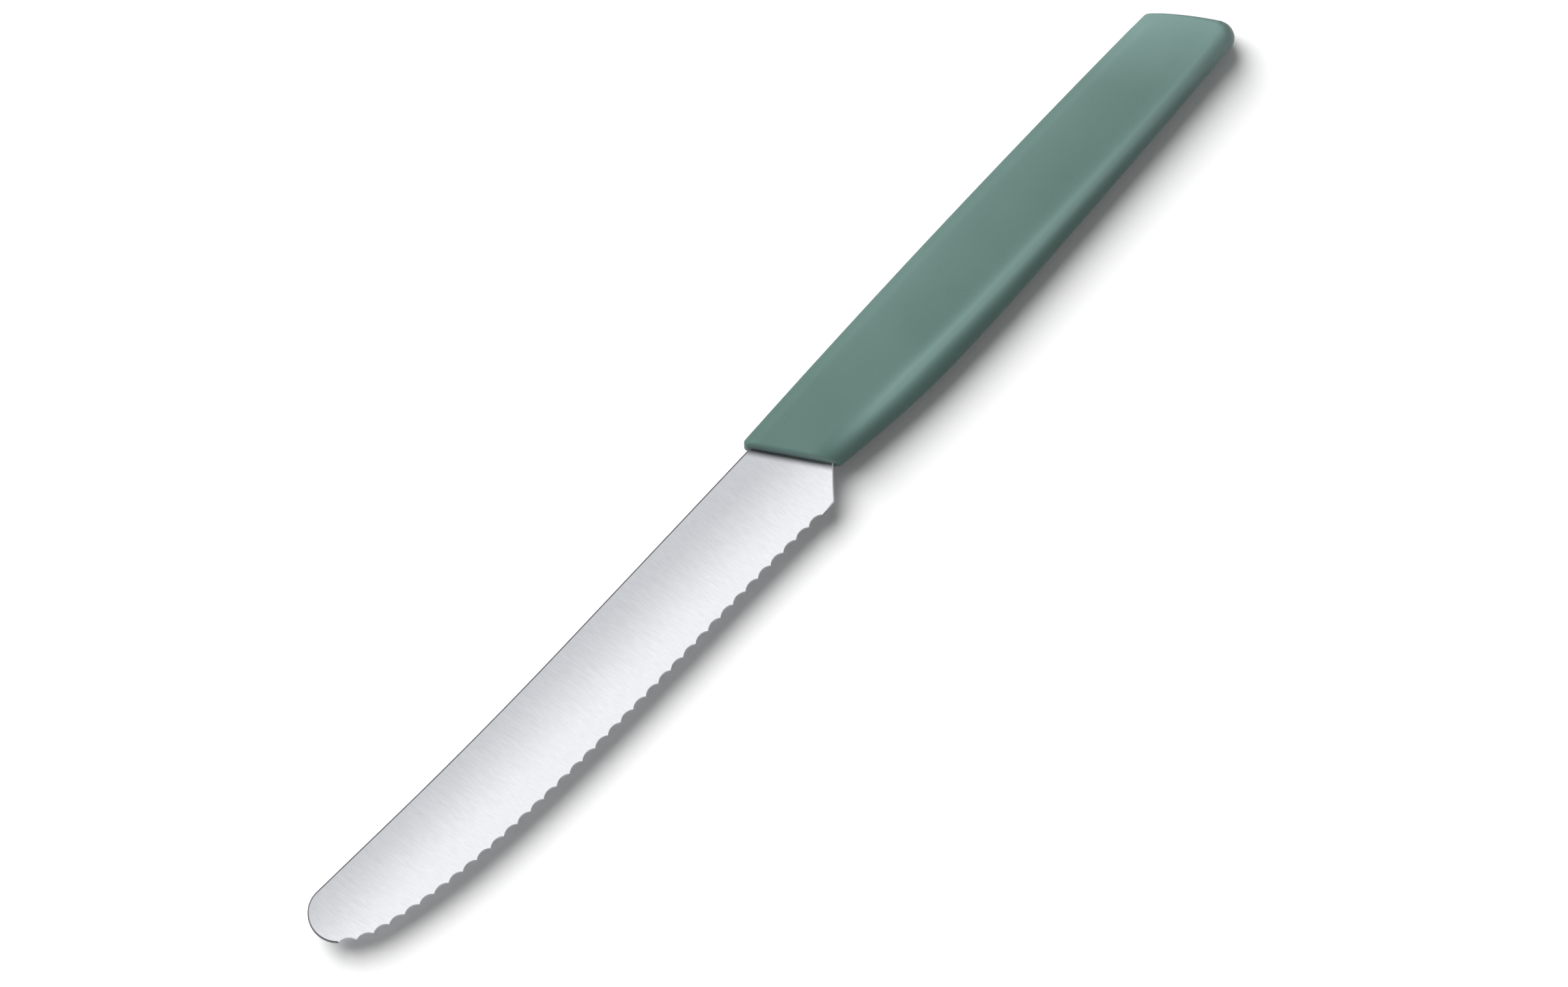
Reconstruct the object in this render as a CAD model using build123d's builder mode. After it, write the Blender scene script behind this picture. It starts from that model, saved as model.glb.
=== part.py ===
"""A tomato knife: a stamped, scalloped steel blade with a plastic handle moulded round its tang.

Millimetres. The knife lies on the flat underside of its handle, which is at Z = 0.
X runs along the handle and on to the blade's tip. Y runs across, from the blade's spine
to its cutting edge. The origin is under the middle of the handle.
"""

import os
from math import atan2, cos, degrees, radians, sin, tan

from build123d import *

# Overall sizes
blade_length = 110.0
blade_width = 16.1
handle_length = 104.6
handle_width = 16.6
handle_thickness = 10.0

# Handle outline, seen from above
back_offset = 7.2
back_rise = 4.85
back_bow = 0.62
front_slant = 35.3
butt_slant = 37.2
butt_run = 8.0
front_width_share = 0.8
back_round = 1.0
front_round_share = 0.7
butt_round_share = 1.3
flat_cut = 0.02

# How the handle bulges towards the fingers. Each row is a station: its place as a share of the
# handle's length, then the edge of the flat top and the outermost line of the rounded belly,
# both as shares of the handle's width.
belly_shares = (
    (-0.60, -0.062, 0.146),
    (-0.42, 0.042, 0.259),
    (-0.26, 0.115, 0.360),
    (-0.11, 0.169, 0.444),
    (0.05, 0.226, 0.527),
    (0.14, 0.246, 0.566),
    (0.22, 0.254, 0.581),
    (0.30, 0.257, 0.569),
    (0.40, 0.254, 0.521),
    (0.52, 0.245, 0.435),
)

# Blade
spine_thickness = 1.2
edge_thickness = 1.0
spine_step = 1.25
spine_fall = 3.05
straight_spine_share = 0.39
bent_spine_share = 0.76
tip_radius = 4.85
tip_sweep = 138.5
heel_setback = 4.4
heel_angle = 45.5
heel_edge_length = 11.0
heel_hollow = 0.2
heel_corner_radius = 0.4

# The line through the tooth tips, from the heel on. Each row is a place as a share of the
# blade's length, from the handle on, and of the blade's width, from the spine's start down.
heel_corner_share = 0.985
edge_shares = (
    (-0.013, 0.998),
    (0.18, 1.032),
    (0.36, 1.087),
    (0.545, 1.117),
    (0.735, 1.080),
    (0.87, 0.945),
)

# Scallops, each ground with one steep cut in front and one shallow hollow behind
scallop_count = 36
scallop_depth = 0.58
scallop_overlap = 0.02
front_facet_angle = 82.0
front_facet_depth = 0.75
back_facet_angle = 20.0
grinder_reach = 3.0

# Tang, hidden in the handle
root_length = 6.0
ground_lead = 1.5
tang_length = 85.0
tang_width = 8.5
tang_setback = 5.3
tang_inset = 4.0
tang_hole_radius = 2.0
tang_hole_spacing = 24.0
tang_hole_count = 3

# One overrun serves every cut and every outline that another shape trims
overrun = 5.0

# Places worked out from the sizes
mid_height = handle_thickness / 2
front_corner = (handle_length / 2, back_rise / 2 - back_offset)
butt_corner = (butt_run - handle_length / 2, -back_rise / 2 - back_offset)
back_middle = ((front_corner[0] + butt_corner[0]) / 2, -back_offset - back_bow)
half_back = (front_corner[0] - butt_corner[0]) / 2
front_face_width = front_width_share * handle_width

spine_start = (front_corner[0], front_corner[1] + spine_step)
spine_end_y = spine_start[1] + spine_fall
spine_slope = spine_fall / (blade_length * (straight_spine_share + bent_spine_share) / 2)
tip_x = front_corner[0] - front_face_width / 2 * tan(radians(front_slant)) + blade_length
root_x = spine_start[0] - root_length
heel_corner = (spine_start[0] - heel_setback, spine_start[1] + heel_corner_share * blade_width)
tang_y = back_middle[1] + tang_inset + tang_width / 2
tang_angle = degrees(atan2(front_corner[1] - butt_corner[1], front_corner[0] - butt_corner[0]))


def on_spine(x):
    """The point of the spine's straight line at x."""
    return (x, spine_start[1] + spine_slope * (x - spine_start[0]))


def off_spine(length_share, width_share):
    """A place on the blade, as shares of its length and width from the start of the spine."""
    return (spine_start[0] + length_share * blade_length, spine_start[1] + width_share * blade_width)


# Blade and tang outline, with the line that the tooth tips lie on
with BuildSketch(Plane.XY.offset(mid_height - spine_thickness / 2)) as blade_plan:
    with BuildLine():
        straight = Line(on_spine(root_x), on_spine(spine_start[0] + straight_spine_share * blade_length))
        bend_end = (spine_start[0] + bent_spine_share * blade_length, spine_end_y)
        bend = TangentArc(straight @ 1, bend_end, tangent=straight % 1)
        flat = Line(bend @ 1, (tip_x - tip_radius, spine_end_y))
        tip = JernArc(flat @ 1, flat % 1, tip_radius, tip_sweep)
        tooth_points = [off_spine(*place) for place in reversed(edge_shares)]
        tooth_line = Spline(tip @ 1, *tooth_points, tangents=(tip % 1, (-1, 0)))
        Line(tooth_line @ 1, heel_corner)
        heel_line = PolarLine(heel_corner, heel_edge_length, 180 + heel_angle, mode=Mode.PRIVATE)
        SagittaArc(heel_corner, heel_line @ 1, -heel_hollow)
        Line(heel_line @ 1, straight @ 0)
    make_face()
    fillet(blade_plan.vertices().sort_by_distance(heel_corner)[0], heel_corner_radius)
    with Locations(Location((front_corner[0] - tang_setback - tang_length / 2, tang_y), tang_angle)):
        SlotOverall(tang_length, tang_width)
        with GridLocations(tang_hole_spacing, tang_hole_spacing, tang_hole_count, 1):
            Circle(tang_hole_radius, mode=Mode.SUBTRACT)

# Blade: the sheet, ground to a taper on both faces, then scalloped
taper = (spine_thickness - edge_thickness) / 2
taper_reach = blade_width + overrun
taper_drop = taper * taper_reach / blade_width
ground_x = front_corner[0] - front_face_width * tan(radians(front_slant)) - ground_lead
ground_y = on_spine(ground_x)[1]
pitch = tooth_line.length / scallop_count
apex_height = mid_height + edge_thickness / 2 - front_facet_depth


def groove_radius(angle):
    """Radius of a grinding cut at an angle to the blade that gives the scallop's width and depth."""
    half_chord = pitch / 2 + scallop_overlap
    rise = scallop_depth * sin(radians(angle))
    return (half_chord**2 + rise**2) / (2 * rise)


def groove_planes(angle, side):
    """A plane for each scallop: its Z axis is the cut's axis, on the front (1) or back (-1) face."""
    lean = radians(angle)
    radius = groove_radius(angle)
    planes = []
    for number in range(scallop_count):
        spot = (number + 1 / 2) / scallop_count
        inward = (tooth_line % spot).rotate(Axis.Z, 90)
        foot = tooth_line @ spot + inward * (scallop_depth - radius * sin(lean))
        foot.Z = apex_height + side * radius * cos(lean)
        planes.append(Plane(origin=foot, z_dir=inward * cos(lean) + Vector(0, 0, side * sin(lean))))
    return planes


with BuildPart() as blade:
    add(blade_plan.sketch)
    extrude(amount=spine_thickness)
    with BuildSketch(Plane.YZ.offset(ground_x)):
        for side in (1, -1):
            face_height = mid_height + side * spine_thickness / 2
            outside = face_height + side * overrun
            with BuildLine():
                Polyline(
                    (ground_y, face_height),
                    (ground_y + taper_reach, face_height - side * taper_drop),
                    (ground_y + taper_reach, outside),
                    (ground_y, outside),
                    close=True,
                )
            make_face()
    extrude(amount=tip_x - ground_x + overrun, mode=Mode.SUBTRACT)
    for side, angle in ((1, front_facet_angle), (-1, back_facet_angle)):
        for plane in groove_planes(angle, side):
            with Locations(plane):
                Cylinder(groove_radius(angle), 2 * grinder_reach, mode=Mode.SUBTRACT)
blade.part.label = "blade"

# Handle: flat faces, a flat back and a full-round belly, moulded round the tang and into its holes.
# The loft stands a little proud of the flat faces, which are then cut true.
proud_top = handle_thickness + flat_cut
proud_foot = -flat_cut
proud_half = mid_height + flat_cut


def back_line(x):
    """Where the handle's back edge is at x: a slanted line with an even bow."""
    along = (x - back_middle[0]) / half_back
    return back_rise / 2 * along - back_offset - back_bow * (1 - along**2)


def end_plane(corner, slant):
    """The upright plane of one end of the handle, through its corner on the back edge."""
    return Plane(origin=(*corner, mid_height), z_dir=(cos(radians(slant)), sin(radians(slant)), 0))


with BuildPart() as handle:
    for place_share, flat_share, belly_share in belly_shares:
        station = place_share * handle_length
        flat_y = flat_share * handle_width
        belly_depth = belly_share * handle_width - flat_y
        back_y = back_line(station)
        round_y = back_y + back_round
        with BuildSketch(Plane.YZ.offset(station)):
            with BuildLine():
                EllipticalCenterArc((flat_y, mid_height), belly_depth, proud_half, -90, arc_size=180)
                Line((flat_y, proud_top), (round_y, proud_top))
                CenterArc((round_y, proud_top - back_round), back_round, 90, 90)
                Line((back_y, proud_top - back_round), (back_y, proud_foot + back_round))
                CenterArc((round_y, proud_foot + back_round), back_round, 180, 90)
                Line((round_y, proud_foot), (flat_y, proud_foot))
            make_face()
    loft()
    split(bisect_by=end_plane(front_corner, front_slant), keep=Keep.BOTTOM)
    split(bisect_by=end_plane(butt_corner, butt_slant), keep=Keep.TOP)
    ends = handle.faces().filter_by(GeomType.PLANE).sort_by(Axis.X)
    fillet(ends[-1].edges(), front_round_share * back_round)
    fillet(ends[0].edges(), butt_round_share * back_round)
    split(bisect_by=Plane.XY.offset(handle_thickness), keep=Keep.BOTTOM)
    split(bisect_by=Plane.XY, keep=Keep.TOP)
    add(blade.part, mode=Mode.SUBTRACT)
handle.part.label = "handle"

os.makedirs("parts", exist_ok=True)
for piece in (blade, handle):
    export_step(piece.part, f"parts/{piece.part.label}.step")
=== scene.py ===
"""A tomato knife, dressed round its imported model: a brushed, scalloped blade and a matte moulded handle.

Metres, in the model's own frame: X runs along the handle to the blade's tip, Y from the blade's
spine to its cutting edge, and Z up from the surface that the knife lies on. The file is laid out as
an add-on: one operator makes the blade, one the handle, and one the stage with its lamps and camera.
"""

from math import atan2, cos, exp, pi, radians, sin, sqrt, tan
from types import SimpleNamespace

import bmesh
import bpy
import numpy as np
from bpy.props import FloatProperty, FloatVectorProperty, IntProperty, PointerProperty
from mathutils import Matrix, Vector
from mathutils.geometry import intersect_line_line_2d


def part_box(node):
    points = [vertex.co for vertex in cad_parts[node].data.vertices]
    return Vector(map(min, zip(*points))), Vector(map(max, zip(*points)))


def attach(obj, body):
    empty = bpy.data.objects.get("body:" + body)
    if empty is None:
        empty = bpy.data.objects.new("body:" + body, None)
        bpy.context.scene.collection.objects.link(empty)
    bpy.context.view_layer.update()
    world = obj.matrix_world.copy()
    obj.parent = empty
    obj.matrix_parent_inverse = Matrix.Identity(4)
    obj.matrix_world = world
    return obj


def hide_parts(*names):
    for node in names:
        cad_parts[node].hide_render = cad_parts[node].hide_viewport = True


bl_info = {
    "name": "Tomato Knife",
    "version": (1, 0, 0),
    "blender": (4, 5, 0),
    "location": "3D View > Sidebar > Knife",
    "description": "Makes a scalloped tomato knife with a moulded handle, and a stage to show it on",
    "category": "Object",
}

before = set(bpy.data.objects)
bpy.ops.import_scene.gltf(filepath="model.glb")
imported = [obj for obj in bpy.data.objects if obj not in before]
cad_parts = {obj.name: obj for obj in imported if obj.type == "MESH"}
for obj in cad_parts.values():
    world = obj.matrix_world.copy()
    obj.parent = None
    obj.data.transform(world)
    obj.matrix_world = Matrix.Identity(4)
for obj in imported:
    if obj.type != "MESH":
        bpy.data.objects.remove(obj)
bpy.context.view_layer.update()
blade_low, blade_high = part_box("blade")
handle_low, handle_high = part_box("handle")

MM = 0.001

# The ranges that most of a noise texture's values lie in, for wide noise and for fine lines
NOISE_RANGE = (0.3, 0.7)
LINE_RANGE = (0.25, 0.75)


def length(name, value, description):
    """A length that a user can change, given in millimetres."""
    return FloatProperty(
        name=name, description=description, default=value * MM, unit="LENGTH", subtype="DISTANCE"
    )


def angle(name, value, description):
    """An angle that a user can change, given in degrees."""
    return FloatProperty(name=name, description=description, default=radians(value), subtype="ANGLE")


def share(name, value, description):
    """A share between nothing and all of something."""
    return FloatProperty(name=name, description=description, default=value, min=0, max=1, subtype="FACTOR")


def colour(name, value, description):
    """A colour that a user can change."""
    return FloatVectorProperty(
        name=name, description=description, default=value, min=0, max=1, subtype="COLOR"
    )


def number(name, value, description):
    """A number of things, at least one."""
    return IntProperty(name=name, description=description, default=value, min=1)


def brightness(name, value, description):
    """A light's strength."""
    return FloatProperty(name=name, description=description, default=value, min=0)


class HandleSettings(bpy.types.PropertyGroup):
    """Sizes and colours of the moulded handle."""

    handle_length: length("Length", 104.6, "Length of the handle between its slanted ends")
    handle_width: length("Width", 16.6, "Width that the belly's stations are shares of")
    back_offset: length("Back Offset", 7.2, "From the knife's axis to the middle of the back")
    back_rise: length("Back Rise", 4.85, "How much nearer to the axis the back is in front than behind")
    back_bow: length("Back Bow", 0.62, "How much the back bows outwards")
    back_round: length("Back Round", 2.1, "Rounding between the back and the flat faces")
    front_slant: angle("Front Slant", 35.3, "Slant of the front end")
    butt_slant: angle("Butt Slant", 37.2, "Slant of the butt")
    butt_run: length("Butt Run", 8.0, "How far the back stops short of the butt")
    nose_round: length("Nose Round", 0.5, "Rounding of the back's corner at the front")
    butt_corner_round: length("Butt Corner Round", 1.6, "Rounding of the back's corner at the butt")
    front_round: length("Front Round", 0.7, "Rounding between the front end and the flat faces")
    front_belly_round: length("Front Belly Round", 0.5, "Rounding between the front end and the belly")
    butt_round: length("Butt Round", 1.0, "Rounding between the butt and the flat faces")
    heel_round: length("Heel Round", 1.9, "Rounding between the butt and the belly")
    # Where the crease's painted highlight lies past the flat face's edge, and how far it reaches
    crease_place: length("Crease Place", 2.1, "From the flat face's edge to the burnished crease")
    crease_width: length("Crease Width", 1.25, "Reach of the highlight on each side of the crease")
    front_crown: length("Front Crown", 0.0, "How much the front end bulges")
    front_proud: length("Front Proud", 0.15, "How far the front's middle stands proud of its corners")
    butt_crown: length("Butt Crown", 0.46, "How much the butt bulges")
    butt_proud: length("Butt Proud", 0.32, "How far the butt's middle stands proud of its corners")
    plastic: colour("Plastic", (0.094, 0.174, 0.151), "Colour of the moulded plastic")
    plastic_worn: colour("Plastic Grain", (0.120, 0.206, 0.180), "Colour of the grain's high points")
    # Painted highlight: a lighter plastic colour that stands for light along the crease, the back edge and the
    # butt
    highlighted: colour("Brightened Plastic", (0.215, 0.335, 0.312), "Colour along the burnished crease")


class BladeSettings(bpy.types.PropertyGroup):
    """Sizes and colours of the stamped blade."""

    blade_length: length("Length", 110.0, "From the handle's front face to the tip")
    blade_width: length("Width", 16.1, "From the spine to the tooth tips at the heel")
    spine_thickness: length("Spine Thickness", 1.2, "Thickness along the spine")
    edge_thickness: length("Edge Thickness", 1.0, "Thickness along the teeth")
    spine_step: length("Spine Step", 1.25, "From the handle's front corner to the spine")
    spine_fall: length("Spine Fall", 3.05, "How far the spine falls towards the tip")
    straight_spine_share: share("Straight Spine", 0.39, "Part of the blade where the spine is straight")
    bent_spine_share: share("Bent Spine", 0.76, "Part of the blade after which the spine is level")
    tip_radius: length("Tip Radius", 4.85, "Radius of the round tip")
    tip_sweep: angle("Tip Sweep", 138.5, "How far the tip's arc turns")
    heel_setback: length("Heel Setback", 4.4, "From the spine's start back to the heel's corner")
    heel_angle: angle("Heel Angle", 45.5, "Slope of the heel's edge")
    heel_edge_length: length("Heel Edge", 11.0, "Length of the heel's sloping edge")
    heel_hollow: length("Heel Hollow", 0.2, "How much the heel's edge is hollow")
    heel_corner_radius: length("Heel Corner", 0.4, "Rounding of the heel's corner")
    rim_round: length("Rim Round", 0.24, "Rounding of the stamped rim")
    root_length: length("Root", 6.0, "How far the blade's full width reaches into the handle")
    tang_length: length("Tang Length", 85.0, "Length of the tang in the handle")
    tang_width: length("Tang Width", 8.5, "Width of the tang")
    tang_setback: length("Tang Setback", 5.3, "From the handle's front corner to the tang")
    tang_inset: length("Tang Inset", 4.0, "From the handle's back to the tang")
    tang_hole_radius: length("Hole Radius", 2.0, "Radius of the tang's holes")
    tang_hole_spacing: length("Hole Spacing", 24.0, "Distance between the tang's holes")
    tang_hole_count: number("Holes", 3, "Number of the tang's holes")
    scallop_count: number("Scallops", 36, "Number of scallops in the edge")
    scallop_depth: length("Scallop Depth", 0.58, "Depth of each scallop")
    scallop_overlap: length("Scallop Overlap", 0.02, "How far each scallop reaches past its neighbours")
    front_angle: angle("Front Cut", 82.0, "Angle of the steep cut in front of each scallop")
    front_depth: length("Front Cut Depth", 0.75, "How deep the steep cut goes into the sheet")
    back_angle: angle("Back Cut", 20.0, "Angle of the shallow hollow behind each scallop")
    # Painted light: the faces' colour runs from darker at the spine to lighter at the teeth, for how light falls
    # on them
    shaded_spine_steel: colour("Steel at the Spine", (0.565, 0.58, 0.61), "Colour of the face near the spine")
    lit_edge_steel: colour("Steel at the Edge", (0.85, 0.86, 0.885), "Colour of the face near the teeth")
    # Painted shade: the rim's dark colour stands for the shade along the stamped edge; its dull finish is real
    shaded_cut_steel: colour("Cut Steel", (0.13, 0.13, 0.14), "Colour of the sheared rim")
    # Painted highlight: a lighter rim at the heel
    heel_gleam_steel: colour("Heel Steel", (0.48, 0.485, 0.50), "Colour of the rim at the heel, wiped bright")
    ground_steel: colour("Ground Steel", (0.66, 0.67, 0.68), "Colour of the scallops' ground walls")
    brush_angle: angle("Brush Angle", 11.0, "How far the brushed lines lean from the blade's width")


class StageSettings(bpy.types.PropertyGroup):
    """Floor, lamps and camera."""

    floor_size: length("Floor", 6000.0, "Side of the square floor")
    shadow_turn: angle("Shadow Turn", -90.0, "Where the shadow's lamp stands, from X towards Y")
    shadow_height: angle("Shadow Height", 51.0, "The height above the horizon of the shadow's lamp")
    shadow_width: angle("Shadow Softness", 51.0, "How wide the shadow's lamp looks from the knife")
    shadow_level: brightness("Shadow Level", 3.85, "Strength of the shadow's lamp")
    main_turn: angle("Main Turn", -50.0, "Where round the knife the main lamp stands, from X towards Y")
    main_height: angle("Main Height", 57.0, "The main lamp's height above the horizon")
    main_width: angle("Main Softness", 34.0, "How wide the main lamp looks from the knife")
    main_level: brightness("Main Level", 3.2, "Strength of the main lamp")
    world_level: brightness("World Level", 0.21, "Strength of the light from all round")
    view_width: length("View Width", 254.74, "Width of the picture at the blade")
    view_tilt: angle("View Tilt", 8.0, "How far the camera leans from straight above")
    view_turn: angle("View Turn", 45.82, "Where round the knife the camera leans to, from X towards Y")
    view_roll: angle("View Roll", -0.036, "How far the camera is turned round its own axis")
    lens: FloatProperty(name="Lens", description="Focal length", default=1000.0, unit="CAMERA")


def places():
    """The places that the knife's parts share, worked out from the settings."""
    handle = bpy.context.scene.knife_handle
    blade = bpy.context.scene.knife_blade
    at = SimpleNamespace()
    at.mid_height = (handle_low.z + handle_high.z) / 2
    at.front_corner = Vector((handle.handle_length / 2, handle.back_rise / 2 - handle.back_offset))
    at.butt_corner = Vector(
        (handle.butt_run - handle.handle_length / 2, -handle.back_rise / 2 - handle.back_offset)
    )
    at.front_way = Vector((cos(handle.front_slant), sin(handle.front_slant)))
    at.spine_start = at.front_corner + Vector((0, blade.spine_step))
    at.spine_end_y = at.spine_start.y + blade.spine_fall
    bend_middle = blade.blade_length * (blade.straight_spine_share + blade.bent_spine_share) / 2
    at.spine_slope = blade.spine_fall / bend_middle
    at.tip_x = blade_high.x
    at.root_x = at.spine_start.x - blade.root_length
    at.tang_way = (at.front_corner - at.butt_corner).normalized()
    back_middle_y = -handle.back_offset - handle.back_bow
    at.tang_middle = Vector(
        (
            at.front_corner.x - blade.tang_setback - blade.tang_length / 2,
            back_middle_y + blade.tang_inset + blade.tang_width / 2,
        )
    )
    return at


class Curve:
    """A smooth line y(x) through points, with a given slope at each end: a clamped cubic spline."""

    def __init__(self, points, first_slope=None, last_slope=None):
        self.x, self.y = (np.array(values, float) for values in zip(*points))
        step = np.diff(self.x)
        chord = np.diff(self.y) / step
        first_slope = chord[0] if first_slope is None else first_slope
        last_slope = chord[-1] if last_slope is None else last_slope
        count = len(self.x)
        rows = np.eye(count)
        right = np.empty(count)
        right[0], right[-1] = first_slope, last_slope
        for i in range(1, count - 1):
            rows[i, i - 1 : i + 2] = step[i], 2 * (step[i - 1] + step[i]), step[i - 1]
            right[i] = 3 * (step[i] * chord[i - 1] + step[i - 1] * chord[i])
        self.slope = np.linalg.solve(rows, right)

    def __call__(self, x):
        i = int(np.clip(np.searchsorted(self.x, x) - 1, 0, len(self.x) - 2))
        step = self.x[i + 1] - self.x[i]
        u = (x - self.x[i]) / step
        start = self.y[i] * (1 + 2 * u) * (1 - u) ** 2 + self.slope[i] * step * u * (1 - u) ** 2
        end = self.y[i + 1] * u * u * (3 - 2 * u) - self.slope[i + 1] * step * u * u * (1 - u)
        return float(start + end)


def linked(name, data):
    """A new object in the scene."""
    made = bpy.data.objects.new(name, data)
    bpy.context.scene.collection.objects.link(made)
    return made


def band(mesh, first, second):
    """The faces between two rings with the same number of points."""
    around = zip(first, [*first[1:], first[0]], [*second[1:], second[0]], second)
    return [mesh.faces.new(corners) for corners in around]


# Shader node groups


def new_group(name, inputs, outputs):
    """An empty shader group: inputs by name with a default, or none for a vector, and outputs by name."""
    group = bpy.data.node_groups.new(name, "ShaderNodeTree")
    for label, default in inputs.items():
        kind = "NodeSocketVector" if default is None else "NodeSocketFloat"
        socket = group.interface.new_socket(label, in_out="INPUT", socket_type=kind)
        if default is not None:
            socket.default_value = default
    for label in outputs:
        group.interface.new_socket(label, in_out="OUTPUT", socket_type="NodeSocketFloat")
    return group


def node(tree, kind, inputs=(), **settings):
    """A new node with its settings and inputs, where a socket as a value makes a link."""
    made = tree.nodes.new(kind)
    for name, value in settings.items():
        setattr(made, name, value)
    for name, value in dict(inputs).items():
        socket = made.inputs[name]
        if isinstance(value, bpy.types.NodeSocket):
            tree.links.new(value, socket)
        else:
            socket.default_value = value
    return made


def math(tree, operation, *values):
    """The result of a math node on sockets or numbers."""
    return node(tree, "ShaderNodeMath", dict(enumerate(values)), operation=operation).outputs[0]


def vector_math(tree, operation, *values):
    """The result of a vector math node on sockets or vectors."""
    return node(tree, "ShaderNodeVectorMath", dict(enumerate(values)), operation=operation).outputs[0]


def scaled(tree, vector, factor):
    """A vector times a factor."""
    return node(tree, "ShaderNodeVectorMath", {0: vector, "Scale": factor}, operation="SCALE").outputs[0]


def own_place(tree):
    """The piece's own X, Y and Z."""
    spot = node(tree, "ShaderNodeTexCoord").outputs["Object"]
    return node(tree, "ShaderNodeSeparateXYZ", {"Vector": spot}).outputs


def grain_group():
    """Fine moulded or blasted grain: a mask of speckles and a mask of wide patches."""
    inputs = {"Vector": None, "Size": 0.2 * MM, "Patch Size": 9 * MM}
    group = new_group("Fine Grain", inputs, ("Speckle", "Patch"))
    start = node(group, "NodeGroupInput").outputs
    masks = []
    for size, look in (("Size", {"Detail": 3.0, "Roughness": 0.6}), ("Patch Size", {"Detail": 2.0})):
        spot = scaled(group, start["Vector"], math(group, "DIVIDE", 1.0, start[size]))
        noise = node(group, "ShaderNodeTexNoise", {"Vector": spot, "Scale": 1.0, **look})
        masks.append(noise.outputs["Fac"])
    node(group, "NodeGroupOutput", {"Speckle": masks[0], "Patch": masks[1]})
    return group


def brush_group():
    """Brushed or ground lines: a mask of fine lines and one of broader streaks, in a chosen direction."""
    inputs = {
        "Vector": None,
        "Turn": 0.0,
        "Line Width": 0.08 * MM,
        "Line Length": 3 * MM,
        "Streak Width": 0.7 * MM,
    }
    group = new_group("Brushed Lines", inputs, ("Lines", "Streaks"))
    start = node(group, "NodeGroupInput").outputs
    turning = {"Vector": start["Vector"], "Angle": start["Turn"]}
    turned = node(group, "ShaderNodeVectorRotate", turning, rotation_type="Z_AXIS").outputs[0]
    masks = []
    for width, reach in (("Line Width", 1.0), ("Streak Width", 2.5)):
        long = math(group, "MULTIPLY", start["Line Length"], reach)
        sizes = {"X": start[width], "Y": long, "Z": start[width]}
        cell = node(group, "ShaderNodeCombineXYZ", sizes).outputs[0]
        spot = vector_math(group, "DIVIDE", turned, cell)
        look = {"Vector": spot, "Scale": 1.0, "Detail": 3.0, "Roughness": 0.55}
        masks.append(node(group, "ShaderNodeTexNoise", look).outputs["Fac"])
    node(group, "NodeGroupOutput", {"Lines": masks[0], "Streaks": masks[1]})
    return group


def new_material(name, **settings):
    """A material with its Principled shader, whose plain sockets take the settings."""
    material = bpy.data.materials.new(name)
    material.use_nodes = True
    shader = material.node_tree.nodes["Principled BSDF"]
    for socket, value in settings.items():
        shader.inputs[socket.replace("_", " ")].default_value = value
    return material, material.node_tree, shader


def placed(tree, group, **values):
    """The outputs of a shader group that reads the piece's own coordinates."""
    spot = node(tree, "ShaderNodeTexCoord")
    made = tree.nodes.new("ShaderNodeGroup")
    made.node_tree = group
    tree.links.new(spot.outputs["Object"], made.inputs["Vector"])
    for name, value in values.items():
        made.inputs[name.replace("_", " ")].default_value = value
    return made.outputs


def blended(tree, factor, low, high):
    """A colour between two, by a socket's value."""
    mix = node(tree, "ShaderNodeMix", data_type="RGBA")
    tree.links.new(factor, mix.inputs["Factor"])
    for socket, value in ((mix.inputs[6], low), (mix.inputs[7], high)):
        if isinstance(value, bpy.types.NodeSocket):
            tree.links.new(value, socket)
        else:
            socket.default_value = (*value, 1)
    return mix.outputs[2]


def mapped(tree, value, low, high, to_low, to_high, smooth=False):
    """A value moved from one range to another."""
    made = node(
        tree,
        "ShaderNodeMapRange",
        {"Value": value, "From Min": low, "From Max": high, "To Min": to_low, "To Max": to_high},
        interpolation_type="SMOOTHSTEP" if smooth else "LINEAR",
    )
    return made.outputs["Result"]


def bumped(tree, shader, height, distance):
    """A bump of a real height on the shader's normal."""
    bump = node(tree, "ShaderNodeBump", {"Height": height, "Distance": distance, "Strength": 1.0})
    tree.links.new(bump.outputs["Normal"], shader.inputs["Normal"])


def edge_sheen_group():
    """A painted highlight along an edge: an attribute's mask, with its strength broken up by the grain's patches.
    """
    inputs = {"Mask": 0.0, "Patch": 0.5, "Strength": 1.0, "Break Up": 0.3}
    group = new_group("Edge Wear", inputs, ("Wear",))
    start = node(group, "NodeGroupInput").outputs
    centred = math(group, "SUBTRACT", start["Patch"], 0.5)
    broken = math(group, "MULTIPLY_ADD", centred, start["Break Up"], 1.0)
    strong = math(group, "MULTIPLY", start["Mask"], start["Strength"])
    painted_sheen = math(group, "MULTIPLY", strong, broken)
    node(group, "NodeGroupOutput", {"Wear": painted_sheen})
    return group


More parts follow.
